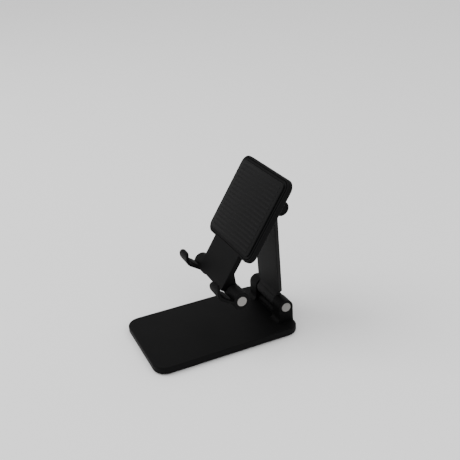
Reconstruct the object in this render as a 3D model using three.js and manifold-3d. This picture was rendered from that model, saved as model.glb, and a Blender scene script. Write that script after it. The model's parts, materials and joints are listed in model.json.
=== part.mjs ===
// Folding desktop phone stand. Millimetres, +Z up, origin on the table under the middle of the base,
// +X to the stand's right, -Y towards the person who looks at the phone.
import * as THREE from 'three';
import { mergeVertices } from 'three/addons/utils/BufferGeometryUtils.js';
import Module from 'manifold-3d';

const wasm = await Module();
wasm.setup();

// ---- Driving dimensions -------------------------------------------------------------------------

// Clearances
const SEAT_GAP = 0.3; // between pieces that lie on each other
const SIDE_GAP = 0.15; // on each side of a friction washer
const PIN_GAP = 0.1; // radial, between a pin and what turns or sits on it
const POCKET_GAP = 0.2; // radial, round caps and nuts in their pockets
const FOLD_GAP = 0.7; // between pieces that pass beside each other as the stand folds

// Base
const BASE_WIDTH = 70.8;
const BASE_DEPTH = 110.5;
const BASE_TOP = 6.2;
const BASE_CORNER = 9.8;
const BASE_EDGE = 0.9;
const BASE_WALL = 1.8;
const BASE_ROOF = 1.5;
const FOOT_PAD = 0.6;
const FOOT_PAD_INSET = 3.2;
const COVER_THICKNESS = 1.2;
const BALLAST_MARGIN = 2.6; // to the bosses, and to the end walls
const BALLAST_CORNER = 4;
const BOSS_RADIUS = 2.9;
const BOSS_INSET = 8; // from the base's edges

// Hinge between base and arm
const EAR_RADIUS = 5.6;
const EAR_INNER = 13.5;
const EAR_OUTER = 24;
const EAR_FILLET = 3.2;
const BASE_AXIS_Z = 17.4;
const SADDLE_TOP = 10.6;
const LOWER_BARREL_RADIUS = 5.2;

// Arm
const ARM_LENGTH = 80; // axis to axis
const ARM_LEAN = 2; // degrees towards the front
const ARM_HALF_WIDTH = 16.5;
const ARM_THICKNESS = 3;
const ARM_EDGE = 0.5;
const UPPER_BARREL_RADIUS = 4.9;
const BARREL_FILLET = 4; // between a barrel and the plate

// Holder: heights are measured from the hinge axes towards the phone
const HOLDER_ANGLE = 56.75; // degrees above the table
const HOLDER_HALF_WIDTH = 34.4;
const HOLDER_ABOVE_AXIS = 19.6;
const HOLDER_BELOW_AXIS = 43;
const HOLDER_CORNER = 7;
const HOLDER_BACK = 5.1;
const HOLDER_FACE = 10.6;
const HOLDER_PAD = 1;
const HOLDER_PAD_INSET = 4;
const HOLDER_FRONT_THICKNESS = 1.6;
const HOLDER_WALL = 1.6;
const HOLDER_EDGE = 0.8;
const HOLDER_EAR_RADIUS = 5.4;
const HOLDER_EAR_OUTER = 26;
const HOLDER_EAR_BLEND = 3;
const HOLDER_SCREW_INSET = 9.4; // from the plate's edges

// Lip with its two folding hooks
const LIP_DISTANCE = 67.8; // upper axis to lip axis
const LUG_THICKNESS = 2.8;
const LUG_RADIUS = 6;
const NECK_END = 2.2; // past the lip axis
const NECK_CORNER = 1;
const NECK_EDGE = 0.5;
const REST_BELOW_LIP = 1.2; // phone's lower edge, past the lip axis
const HOOK_BARREL_RADIUS = 6.2;
const HOOK_OUTER = 35.2;
const HOOK_THICKNESS = 2.2;
const HOOK_REACH = 21.3; // lip axis to the outer face of the tip
const HOOK_TIP_RISE = 5.5; // above the phone's lower edge
const HOOK_TIP_CORNER = 5.8;
const HOOK_BEND = 5; // inside the bend under the tip
const HOOK_ROOT_CORNER = 1; // at the leg's two lower corners
const HOOK_PAD = 0.6;
const HOOK_PAD_INSET = 1.6;
const HOOK_PAD_CORNER = 2;

// Hardware
const PIN_RADIUS = 2;
const HEAD_RADIUS = 3.1;
const HEAD_THICKNESS = 1.4;
const CAP_RADIUS = 3.6;
const CAP_THICKNESS = 1.1;
const CAP_PROUD = 0.2;
const CAP_EDGE = 0.3;
const NUT_THICKNESS = 2;
const NUT_RADIUS = 3.2; // across the corners
const SPRING_THICKNESS = 0.6;
const SPRING_RADIUS = 3.3;
const FRICTION_THICKNESS = 0.4;
const FRICTION_RADIUS = 4.4;
const SCREW_RADIUS = 1;
const SCREW_HEAD_RADIUS = 1.9;
const SCREW_HEAD_THICKNESS = 1;
const SCREW_SUNK = 0.1; // a cover screw's head, under the cover's face
const COVER_SCREW_BITE = 0.6; // into the roof of the base
const HOLDER_SCREW_BOTTOM = 0.7; // plastic left behind a holder screw
const BOSS_OVERLAP = 0.5; // a boss into the wall that it stands on

// Facets
const ROUND = 28;
const SMALL_ROUND = 12;
const ARC = 6;
const EDGE_STEPS = 2;
const THROUGH = 1; // how far a cutter runs past what it cuts
const WELD_DISTANCE = 1e-4; // points closer than this are one

// ---- Worked out from them -----------------------------------------------------------------------

const BASE_AXIS_Y = BASE_DEPTH / 2 - EAR_RADIUS;
const SHELL_BOTTOM = FOOT_PAD + SEAT_GAP;
const COVER_TOP = SHELL_BOTTOM + COVER_THICKNESS;
const ROOF_UNDERSIDE = BASE_TOP - BASE_ROOF;
const BOSS_X = BASE_WIDTH / 2 - BOSS_INSET;
const BOSS_Y = BASE_DEPTH / 2 - BOSS_INSET;
const LOWER_BARREL_HALF = EAR_INNER - FRICTION_THICKNESS - 2 * SIDE_GAP;
const HOLDER_EAR_INNER = ARM_HALF_WIDTH + FRICTION_THICKNESS + 2 * SIDE_GAP;
const LUG_INNER = ARM_HALF_WIDTH + FOLD_GAP;
const LUG_OUTER = LUG_INNER + LUG_THICKNESS;
const HOOK_INNER = LUG_OUTER + FRICTION_THICKNESS + 2 * SIDE_GAP;
const HOLDER_FRONT_TOP = HOLDER_FACE - HOLDER_PAD - SEAT_GAP;
const HOLDER_FRONT_BOTTOM = HOLDER_FRONT_TOP - HOLDER_FRONT_THICKNESS;
const HOLDER_RIM = HOLDER_FRONT_TOP - SEAT_GAP;
const REST_Y = -REST_BELOW_LIP;
const LEG_TOP = REST_Y - HOOK_PAD - SEAT_GAP;
const LEG_BOTTOM = LEG_TOP - HOOK_THICKNESS;
const POCKET_RADIUS = CAP_RADIUS + POCKET_GAP;

// ---- Shapes and solids --------------------------------------------------------------------------

function solid(geometry) {
  const plain = geometry.clone();
  plain.deleteAttribute('normal');
  plain.deleteAttribute('uv');
  const merged = mergeVertices(plain, WELD_DISTANCE);
  const vertProperties = new Float32Array(merged.attributes.position.array);
  const triVerts = new Uint32Array(merged.index.array);
  return new wasm.Manifold(new wasm.Mesh({ numProp: 3, vertProperties, triVerts }));
}

function geometryOf(body) {
  const mesh = body.getMesh();
  const geometry = new THREE.BufferGeometry();
  geometry.setAttribute('position', new THREE.BufferAttribute(mesh.vertProperties, 3));
  geometry.setIndex(new THREE.BufferAttribute(mesh.triVerts, 1));
  geometry.computeVertexNormals();
  return geometry;
}

function join(first, ...others) {
  return others.reduce((body, other) => body.add(other), first);
}

function cut(first, ...others) {
  return others.reduce((body, other) => body.subtract(other), first);
}

// A rounded rectangle between two corners; radii run anticlockwise from the lower left.
function roundedRect(x0, y0, x1, y1, radii) {
  const [a, b, c, d] = Array.isArray(radii) ? radii : [radii, radii, radii, radii];
  const shape = new THREE.Shape();
  shape.moveTo(x0 + a, y0);
  shape.lineTo(x1 - b, y0);
  if (b > 0) shape.absarc(x1 - b, y0 + b, b, -Math.PI / 2, 0);
  shape.lineTo(x1, y1 - c);
  if (c > 0) shape.absarc(x1 - c, y1 - c, c, 0, Math.PI / 2);
  shape.lineTo(x0 + d, y1);
  if (d > 0) shape.absarc(x0 + d, y1 - d, d, Math.PI / 2, Math.PI);
  shape.lineTo(x0, y0 + a);
  if (a > 0) shape.absarc(x0 + a, y0 + a, a, Math.PI, 1.5 * Math.PI);
  return shape;
}

// A prism of a shape, with rounded end edges where edge is over 0 and the outline kept.
function prism(shape, length, edge) {
  return new THREE.ExtrudeGeometry(shape, {
    depth: length - 2 * edge,
    bevelEnabled: edge > 0,
    bevelThickness: edge,
    bevelSize: edge,
    bevelOffset: -edge,
    bevelSegments: EDGE_STEPS,
    curveSegments: ARC,
  }).translate(0, 0, edge);
}

function slab(shape, z0, z1, edge = 0) {
  return solid(prism(shape, z1 - z0, edge).translate(0, 0, z0));
}

// A prism along X of a shape drawn in (y, z).
function bar(shape, x0, x1) {
  const turn = new THREE.Matrix4().makeBasis(
    new THREE.Vector3(0, 1, 0),
    new THREE.Vector3(0, 0, 1),
    new THREE.Vector3(1, 0, 0),
  );
  return solid(prism(shape, x1 - x0, 0).applyMatrix4(turn).translate(x0, 0, 0));
}

// A turned piece along X from (radius, distance) points, or along Z when upright.
function turned(points, upright = false, sides = ROUND) {
  const profile = points.map(([radius, along]) => new THREE.Vector2(radius, along));
  const lathe = new THREE.LatheGeometry(profile, sides);
  return solid(upright ? lathe.rotateX(Math.PI / 2) : lathe.rotateZ(-Math.PI / 2));
}

function rod(x0, x1, radius, y = 0, z = 0, sides = ROUND) {
  return turned([[0, x0], [radius, x0], [radius, x1], [0, x1]], false, sides).translate([0, y, z]);
}

function post(x, y, z0, z1, radius) {
  return turned([[0, z0], [radius, z0], [radius, z1], [0, z1]], true, SMALL_ROUND).translate([x, y, 0]);
}

function ring(x0, x1, outer, inner) {
  return turned([[inner, x0], [outer, x0], [outer, x1], [inner, x1], [inner, x0]]);
}

function mirrorX(body) {
  return body.mirror([1, 0, 0]);
}

// ---- Materials ----------------------------------------------------------------------------------

function material(color, roughness, metalness) {
  return () => new THREE.MeshStandardMaterial({ color, roughness, metalness });
}

const blackPlastic = material(0x1c1c1d, 0.62, 0);
const armPaint = material(0x262627, 0.5, 0.1);
const silicone = material(0x141414, 0.85, 0);
const steel = material(0x8d8c8a, 0.35, 1);
const ballastSteel = material(0x6f6e6c, 0.5, 1);
const silverCap = material(0x8a8784, 0.42, 0.9);
const acetal = material(0x2c2c2e, 0.45, 0);

function piece(group, name, body, finish) {
  const mesh = new THREE.Mesh(geometryOf(body), finish());
  mesh.name = name;
  group.add(mesh);
}

// ---- Hardware shared by the hinges --------------------------------------------------------------

function cap(outerFace) {
  const back = outerFace + CAP_PROUD - CAP_THICKNESS;
  const front = outerFace + CAP_PROUD;
  return turned([
    [0, back],
    [CAP_RADIUS, back],
    [CAP_RADIUS, front - CAP_EDGE],
    [CAP_RADIUS - CAP_EDGE, front],
    [0, front],
  ]);
}

// Where a nut stack ends, counted from the floor of its pocket.
function nutStackEnd(floor) {
  return floor + SIDE_GAP + SPRING_THICKNESS + SIDE_GAP + NUT_THICKNESS;
}

function springWasher(floor) {
  const start = floor + SIDE_GAP;
  return ring(start, start + SPRING_THICKNESS, SPRING_RADIUS, PIN_RADIUS + PIN_GAP);
}

function nut(floor) {
  const end = nutStackEnd(floor);
  const hexagon = rod(end - NUT_THICKNESS, end, NUT_RADIUS, 0, 0, 6);
  return cut(hexagon, rod(end - NUT_THICKNESS - THROUGH, end + THROUGH, PIN_RADIUS + PIN_GAP));
}

function frictionWasher(start) {
  return ring(start, start + FRICTION_THICKNESS, FRICTION_RADIUS, PIN_RADIUS + PIN_GAP);
}

// Depth of a pocket that holds a nut stack behind a cap.
const POCKET_DEPTH = nutStackEnd(0) + SEAT_GAP + CAP_THICKNESS - CAP_PROUD;

// A pin with its head towards -X, from the head pocket's floor to the nut's outer face.
function headedPin(headFloor, nutFloor) {
  const seat = headFloor - SIDE_GAP;
  return turned([
    [0, seat - HEAD_THICKNESS],
    [HEAD_RADIUS, seat - HEAD_THICKNESS],
    [HEAD_RADIUS, seat],
    [PIN_RADIUS, seat],
    [PIN_RADIUS, nutStackEnd(nutFloor)],
    [0, nutStackEnd(nutFloor)],
  ]);
}

function countersunkScrew(x, y, headFace, tip) {
  const inward = Math.sign(tip - headFace);
  const points = [
    [0, headFace],
    [SCREW_HEAD_RADIUS, headFace],
    [SCREW_RADIUS, headFace + inward * SCREW_HEAD_THICKNESS],
    [SCREW_RADIUS, tip],
    [0, tip],
  ];
  if (inward < 0) points.reverse();
  return turned(points, true, SMALL_ROUND).translate([x, y, 0]);
}

function screwHole(x, y, headFace, tip) {
  const inward = Math.sign(tip - headFace);
  const points = [
    [0, headFace - inward * THROUGH],
    [SCREW_HEAD_RADIUS + PIN_GAP, headFace - inward * THROUGH],
    [SCREW_HEAD_RADIUS + PIN_GAP, headFace],
    [SCREW_RADIUS + PIN_GAP, headFace + inward * SCREW_HEAD_THICKNESS],
    [SCREW_RADIUS + PIN_GAP, tip + inward * SEAT_GAP],
    [0, tip + inward * SEAT_GAP],
  ];
  if (inward < 0) points.reverse();
  return turned(points, true, SMALL_ROUND).translate([x, y, 0]);
}

// The full set between two ears: pin, nut, spring washer, friction washers and caps.
function hingeHardware(group, prefix, earInner, earOuter, capFinish) {
  const floor = earOuter - POCKET_DEPTH;
  piece(group, `${prefix}_hinge_pin`, headedPin(-floor, floor), steel);
  piece(group, `${prefix}_hinge_spring_washer`, springWasher(floor), steel);
  piece(group, `${prefix}_hinge_nut`, nut(floor), steel);
  const washerStart = earInner - SIDE_GAP - FRICTION_THICKNESS;
  piece(group, `${prefix}_friction_washer_right`, frictionWasher(washerStart), acetal);
  piece(group, `${prefix}_friction_washer_left`, mirrorX(frictionWasher(washerStart)), acetal);
  piece(group, `${prefix}_hinge_cap_right`, cap(earOuter), capFinish);
  piece(group, `${prefix}_hinge_cap_left`, mirrorX(cap(earOuter)), capFinish);
}

// What an ear loses: the pin's bore right through and a pocket from its outer face.
function earBore(inner, outer) {
  return join(
    rod(inner - THROUGH, outer + THROUGH, PIN_RADIUS + PIN_GAP),
    rod(outer - POCKET_DEPTH, outer + THROUGH, POCKET_RADIUS),
  );
}

// ---- Base ---------------------------------------------------------------------------------------

const bossPlaces = [[-1, -1], [1, -1], [1, 1], [-1, 1]].map(([i, j]) => [i * BOSS_X, j * BOSS_Y]);
const COVER_SCREW_TIP = ROOF_UNDERSIDE + COVER_SCREW_BITE;
const COVER_SCREW_FACE = SHELL_BOTTOM + SCREW_SUNK;

function baseOutline(inset) {
  const x = BASE_WIDTH / 2 - inset;
  const y = BASE_DEPTH / 2 - inset;
  return roundedRect(-x, -y, x, y, BASE_CORNER - inset);
}

// Side view of an ear in (y, z): round top, upright back, front faired into the base.
function earProfile() {
  const front = BASE_AXIS_Y - EAR_RADIUS;
  const back = BASE_AXIS_Y + EAR_RADIUS;
  const root = BASE_TOP - BASE_ROOF / 2;
  const shape = new THREE.Shape();
  shape.moveTo(back, root);
  shape.lineTo(back, BASE_AXIS_Z);
  shape.absarc(BASE_AXIS_Y, BASE_AXIS_Z, EAR_RADIUS, 0, Math.PI);
  shape.lineTo(front, BASE_TOP + EAR_FILLET);
  shape.absarc(front - EAR_FILLET, BASE_TOP + EAR_FILLET, EAR_FILLET, 0, -Math.PI / 2, true);
  shape.lineTo(front - EAR_FILLET, root);
  return shape;
}

// The low saddle under the arm's barrel, with a rounded front edge.
function saddleProfile() {
  const back = BASE_DEPTH / 2;
  const front = BASE_AXIS_Y - EAR_RADIUS + EAR_FILLET / 2;
  return roundedRect(front, BASE_TOP - BASE_ROOF / 2, back, SADDLE_TOP, [0, 0, 1, EAR_FILLET]);
}

function baseShell() {
  const outer = slab(baseOutline(0), SHELL_BOTTOM, BASE_TOP, BASE_EDGE);
  const hollow = slab(baseOutline(BASE_WALL), SHELL_BOTTOM - THROUGH, ROOF_UNDERSIDE);
  const bosses = bossPlaces.map(([x, y]) => (
    post(x, y, COVER_TOP + SEAT_GAP, ROOF_UNDERSIDE + BOSS_OVERLAP, BOSS_RADIUS)
  ));
  const ear = bar(earProfile(), EAR_INNER, EAR_OUTER);
  const saddle = bar(saddleProfile(), -EAR_INNER - THROUGH, EAR_INNER + THROUGH);
  const bore = earBore(EAR_INNER, EAR_OUTER).translate([0, BASE_AXIS_Y, BASE_AXIS_Z]);
  const screwHoles = bossPlaces.map(([x, y]) => screwHole(x, y, COVER_SCREW_FACE, COVER_SCREW_TIP));
  const body = join(cut(outer, hollow), ...bosses, ear, mirrorX(ear), saddle);
  return cut(body, bore, mirrorX(bore), ...screwHoles);
}

function baseCover() {
  const plate = slab(baseOutline(BASE_WALL + SEAT_GAP), SHELL_BOTTOM, COVER_TOP);
  return cut(plate, ...bossPlaces.map(([x, y]) => screwHole(x, y, COVER_SCREW_FACE, COVER_SCREW_TIP)));
}

function ballastPlate() {
  const x = BOSS_X - BOSS_RADIUS - BALLAST_MARGIN;
  const y = BASE_DEPTH / 2 - BASE_WALL - BALLAST_MARGIN;
  return slab(roundedRect(-x, -y, x, y, BALLAST_CORNER), COVER_TOP + SEAT_GAP, ROOF_UNDERSIDE - SEAT_GAP);
}

function buildBase() {
  const group = new THREE.Group();
  piece(group, 'base_shell', baseShell(), blackPlastic);
  piece(group, 'base_ballast_plate', ballastPlate(), ballastSteel);
  piece(group, 'base_cover', baseCover(), blackPlastic);
  piece(group, 'base_foot_pad', slab(baseOutline(FOOT_PAD_INSET), 0, FOOT_PAD), silicone);
  bossPlaces.forEach(([x, y], index) => {
    const screw = countersunkScrew(x, y, COVER_SCREW_FACE, COVER_SCREW_TIP);
    piece(group, `base_cover_screw_${index + 1}`, screw, steel);
  });
  const hinge = new THREE.Group();
  hinge.position.set(0, BASE_AXIS_Y, BASE_AXIS_Z);
  hingeHardware(hinge, 'base', EAR_INNER, EAR_OUTER, silverCap);
  group.add(hinge);
  return group;
}

// ---- Arm: y runs up from the base hinge, z towards the front ------------------------------------

function armOutline() {
  const shoulder = EAR_RADIUS + FOLD_GAP;
  const step = ARM_HALF_WIDTH - LOWER_BARREL_HALF;
  const shape = new THREE.Shape();
  shape.moveTo(-LOWER_BARREL_HALF, 0);
  shape.lineTo(LOWER_BARREL_HALF, 0);
  shape.lineTo(LOWER_BARREL_HALF, shoulder);
  shape.lineTo(ARM_HALF_WIDTH, shoulder + step);
  shape.lineTo(ARM_HALF_WIDTH, ARM_LENGTH);
  shape.lineTo(-ARM_HALF_WIDTH, ARM_LENGTH);
  shape.lineTo(-ARM_HALF_WIDTH, shoulder + step);
  shape.lineTo(-LOWER_BARREL_HALF, shoulder);
  return shape;
}

// Side view in (y, z) of the fillets on both faces of the plate; up is +1 from the lower barrel and
// -1 from the upper one.
function filletProfile(axis, radius, up) {
  const centreZ = ARM_THICKNESS / 2 + BARREL_FILLET;
  const centreY = Math.sqrt((radius + BARREL_FILLET) ** 2 - centreZ ** 2);
  const touch = Math.atan2(centreZ, centreY);
  const front = Array.from({ length: ARC + 1 }, (_, step) => {
    const turn = Math.PI + touch + ((Math.PI / 2 - touch) * step) / ARC;
    return [centreY + BARREL_FILLET * Math.cos(turn), centreZ + BARREL_FILLET * Math.sin(turn)];
  });
  front.unshift([0, front[0][1]]);
  const back = front.map(([y, z]) => [y, -z]).reverse();
  return new THREE.Shape([...front, ...back].map(([y, z]) => new THREE.Vector2(axis + up * y, z)));
}

function arm() {
  const plate = slab(armOutline(), -ARM_THICKNESS / 2, ARM_THICKNESS / 2, ARM_EDGE);
  const lower = rod(-LOWER_BARREL_HALF, LOWER_BARREL_HALF, LOWER_BARREL_RADIUS);
  const lowerSide = filletProfile(0, LOWER_BARREL_RADIUS, 1);
  const lowerFillet = bar(lowerSide, -LOWER_BARREL_HALF, LOWER_BARREL_HALF);
  const upper = rod(-ARM_HALF_WIDTH, ARM_HALF_WIDTH, UPPER_BARREL_RADIUS, ARM_LENGTH);
  const upperSide = filletProfile(ARM_LENGTH, UPPER_BARREL_RADIUS, -1);
  const upperFillet = bar(upperSide, -ARM_HALF_WIDTH, ARM_HALF_WIDTH);
  const reach = ARM_HALF_WIDTH + THROUGH;
  return cut(
    join(plate, lower, lowerFillet, upper, upperFillet),
    rod(-reach, reach, PIN_RADIUS + PIN_GAP),
    rod(-reach, reach, PIN_RADIUS + PIN_GAP, ARM_LENGTH),
  );
}

// ---- Holder: y runs up the plate from the upper hinge, z towards the phone ----------------------

const plateTop = HOLDER_ABOVE_AXIS;
const plateBottom = -HOLDER_BELOW_AXIS;
const holderScrewPlaces = [plateTop - HOLDER_SCREW_INSET, plateBottom + HOLDER_SCREW_INSET].flatMap((y) => [
  [HOLDER_SCREW_INSET - HOLDER_HALF_WIDTH, y],
  [HOLDER_HALF_WIDTH - HOLDER_SCREW_INSET, y],
]);
const HOLDER_SCREW_TIP = HOLDER_BACK + HOLDER_SCREW_BOTTOM;

function plateOutline(inset) {
  const x = HOLDER_HALF_WIDTH - inset;
  return roundedRect(-x, plateBottom + inset, x, plateTop - inset, HOLDER_CORNER - inset);
}

// Side view in (y, z) of a knuckle at a given y that stands off the back of the plate.
function knuckleProfile(axis, radius, blend) {
  const root = HOLDER_BACK + HOLDER_WALL / 2;
  const shape = new THREE.Shape();
  shape.moveTo(axis + radius, 0);
  shape.lineTo(axis + radius, HOLDER_BACK - blend);
  shape.lineTo(axis + radius + blend, HOLDER_BACK);
  shape.lineTo(axis + radius + blend, root);
  shape.lineTo(axis - radius - blend, root);
  shape.lineTo(axis - radius - blend, HOLDER_BACK);
  shape.lineTo(axis - radius, HOLDER_BACK - blend);
  shape.lineTo(axis - radius, 0);
  shape.absarc(axis, 0, radius, Math.PI, 2 * Math.PI);
  return shape;
}

// A lug of the lip hinge: round about its axis, widening up the neck.
function lugProfile() {
  const root = HOLDER_BACK + HOLDER_WALL / 2;
  const shape = new THREE.Shape();
  shape.moveTo(-LIP_DISTANCE + LUG_RADIUS, 0);
  shape.lineTo(-LIP_DISTANCE + 2 * LUG_RADIUS, HOLDER_BACK);
  shape.lineTo(-LIP_DISTANCE + 2 * LUG_RADIUS, root);
  shape.lineTo(-LIP_DISTANCE - NECK_END, root);
  shape.lineTo(-LIP_DISTANCE - NECK_END, HOLDER_BACK);
  shape.lineTo(-LIP_DISTANCE - LUG_RADIUS, 0);
  shape.absarc(-LIP_DISTANCE, 0, LUG_RADIUS, Math.PI, 2 * Math.PI);
  return shape;
}

function holderBack() {
  const plate = slab(plateOutline(0), HOLDER_BACK, HOLDER_RIM, HOLDER_EDGE);
  const neckTop = plateBottom + HOLDER_CORNER;
  const neckOutline = roundedRect(-LUG_OUTER, -LIP_DISTANCE - NECK_END, LUG_OUTER, neckTop, NECK_CORNER);
  const neck = slab(neckOutline, HOLDER_BACK, HOLDER_RIM, NECK_EDGE);
  const recessFloor = HOLDER_FRONT_BOTTOM - SEAT_GAP;
  const recess = slab(plateOutline(HOLDER_WALL), recessFloor, HOLDER_RIM + THROUGH);
  const bosses = holderScrewPlaces.map(([x, y]) => (
    post(x, y, HOLDER_BACK + BOSS_OVERLAP, recessFloor, BOSS_RADIUS)
  ));
  const ear = bar(knuckleProfile(0, HOLDER_EAR_RADIUS, HOLDER_EAR_BLEND), HOLDER_EAR_INNER, HOLDER_EAR_OUTER);
  const lug = bar(lugProfile(), LUG_INNER, LUG_OUTER);
  const bore = earBore(HOLDER_EAR_INNER, HOLDER_EAR_OUTER);
  const headPocket = LUG_INNER + SIDE_GAP + HEAD_THICKNESS + SIDE_GAP;
  const lugBore = join(
    rod(LUG_INNER - THROUGH, LUG_OUTER + THROUGH, PIN_RADIUS + PIN_GAP, -LIP_DISTANCE),
    rod(LUG_INNER - THROUGH, headPocket, HEAD_RADIUS + POCKET_GAP, -LIP_DISTANCE),
  );
  const screwHoles = holderScrewPlaces.map(([x, y]) => screwHole(x, y, HOLDER_FRONT_TOP, HOLDER_SCREW_TIP));
  const body = join(cut(join(plate, neck), recess), ...bosses, ear, mirrorX(ear), lug, mirrorX(lug));
  return cut(body, bore, mirrorX(bore), lugBore, mirrorX(lugBore), ...screwHoles);
}

function holderFront() {
  const plate = slab(plateOutline(HOLDER_WALL + SEAT_GAP), HOLDER_FRONT_BOTTOM, HOLDER_FRONT_TOP);
  const screwHoles = holderScrewPlaces.map(([x, y]) => screwHole(x, y, HOLDER_FRONT_TOP, HOLDER_SCREW_TIP));
  return cut(plate, ...screwHoles);
}

function buildHolder() {
  const group = new THREE.Group();
  piece(group, 'holder_back', holderBack(), blackPlastic);
  piece(group, 'holder_front', holderFront(), blackPlastic);
  const padBottom = HOLDER_FACE - HOLDER_PAD;
  piece(group, 'holder_pad', slab(plateOutline(HOLDER_PAD_INSET), padBottom, HOLDER_FACE), silicone);
  holderScrewPlaces.forEach(([x, y], index) => {
    const screw = countersunkScrew(x, y, HOLDER_FRONT_TOP, HOLDER_SCREW_TIP);
    piece(group, `holder_screw_${index + 1}`, screw, steel);
  });
  hingeHardware(group, 'holder', HOLDER_EAR_INNER, HOLDER_EAR_OUTER, blackPlastic);
  return group;
}

// ---- Hooks: same directions as the holder, measured from the lip axis ----------------------------

// Side view in (y, z): a leg under the phone that turns up into a tip.
function hookProfile() {
  const tipInner = HOOK_REACH - HOOK_THICKNESS;
  const tipTop = REST_Y + HOOK_TIP_RISE;
  const round = HOOK_THICKNESS / 2;
  const shape = new THREE.Shape();
  const bend = HOOK_BEND + HOOK_THICKNESS;
  shape.moveTo(LEG_TOP, 0);
  shape.lineTo(LEG_TOP, tipInner - HOOK_BEND);
  shape.absarc(LEG_TOP + HOOK_BEND, tipInner - HOOK_BEND, HOOK_BEND, Math.PI, Math.PI / 2, true);
  shape.lineTo(tipTop - round, tipInner);
  shape.absarc(tipTop - round, HOOK_REACH - round, round, -Math.PI / 2, Math.PI / 2);
  shape.lineTo(LEG_BOTTOM + bend, HOOK_REACH);
  shape.absarc(LEG_BOTTOM + bend, HOOK_REACH - bend, bend, Math.PI / 2, Math.PI);
  shape.lineTo(LEG_BOTTOM, 0);
  return shape;
}

function hook() {
  const blade = bar(hookProfile(), HOOK_INNER, HOOK_OUTER);
  const corners = [HOOK_ROOT_CORNER, HOOK_ROOT_CORNER, HOOK_TIP_CORNER, HOOK_TIP_CORNER];
  const front = roundedRect(HOOK_INNER, LEG_BOTTOM, HOOK_OUTER, REST_Y + HOOK_TIP_RISE, corners);
  const trimmed = blade.intersect(slab(front, 0, HOOK_REACH + THROUGH));
  const barrel = rod(HOOK_INNER, HOOK_OUTER, HOOK_BARREL_RADIUS);
  return cut(join(trimmed, barrel), earBore(HOOK_INNER, HOOK_OUTER));
}

function hookPad() {
  const outline = roundedRect(
    HOOK_INNER + HOOK_PAD_INSET,
    HOOK_BARREL_RADIUS + HOOK_PAD_INSET,
    HOOK_OUTER - HOOK_PAD_INSET,
    HOOK_REACH - HOOK_THICKNESS - HOOK_BEND - SEAT_GAP,
    HOOK_PAD_CORNER,
  );
  // The outline lies in (x, z); the prism's depth is turned to run down from the resting edge.
  return slab(outline, 0, HOOK_PAD).rotate([90, 0, 0]).translate([0, REST_Y, 0]);
}

// A headed pin in the lug with its nut and spring washer in the hook's pocket.
function hookPin() {
  const headStart = LUG_INNER + SIDE_GAP;
  const end = nutStackEnd(HOOK_OUTER - POCKET_DEPTH);
  return turned([
    [0, headStart],
    [HEAD_RADIUS, headStart],
    [HEAD_RADIUS, headStart + HEAD_THICKNESS],
    [PIN_RADIUS, headStart + HEAD_THICKNESS],
    [PIN_RADIUS, end],
    [0, end],
  ]);
}

function buildHook(side) {
  const group = new THREE.Group();
  const place = side === 'right' ? (body) => body : mirrorX;
  const floor = HOOK_OUTER - POCKET_DEPTH;
  piece(group, `hook_${side}`, place(hook()), blackPlastic);
  piece(group, `hook_pad_${side}`, place(hookPad()), silicone);
  piece(group, `hook_pin_${side}`, place(hookPin()), steel);
  piece(group, `hook_friction_washer_${side}`, place(frictionWasher(LUG_OUTER + SIDE_GAP)), acetal);
  piece(group, `hook_spring_washer_${side}`, place(springWasher(floor)), steel);
  piece(group, `hook_nut_${side}`, place(nut(floor)), steel);
  piece(group, `hook_cap_${side}`, place(cap(HOOK_OUTER)), silverCap);
  return group;
}

// ---- Assembly -----------------------------------------------------------------------------------

const stand = new THREE.Group();
stand.add(buildBase());

const armGroup = new THREE.Group();
const armAngle = THREE.MathUtils.degToRad(90 + ARM_LEAN);
armGroup.position.set(0, BASE_AXIS_Y, BASE_AXIS_Z);
armGroup.rotation.x = armAngle;
piece(armGroup, 'arm', arm(), armPaint);
stand.add(armGroup);

const holderGroup = buildHolder();
holderGroup.position.set(
  0,
  BASE_AXIS_Y + ARM_LENGTH * Math.cos(armAngle),
  BASE_AXIS_Z + ARM_LENGTH * Math.sin(armAngle),
);
holderGroup.rotation.x = THREE.MathUtils.degToRad(HOLDER_ANGLE);
for (const side of ['left', 'right']) {
  const hookGroup = buildHook(side);
  hookGroup.position.set(0, -LIP_DISTANCE, 0);
  holderGroup.add(hookGroup);
}
stand.add(holderGroup);

export default stand;
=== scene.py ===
"""The visible finish of a folding phone stand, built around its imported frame."""

import json
import logging
import math
from dataclasses import dataclass, field
from enum import Enum

import bmesh
import bpy
from mathutils import Matrix, Vector
from mathutils.bvhtree import BVHTree

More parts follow.
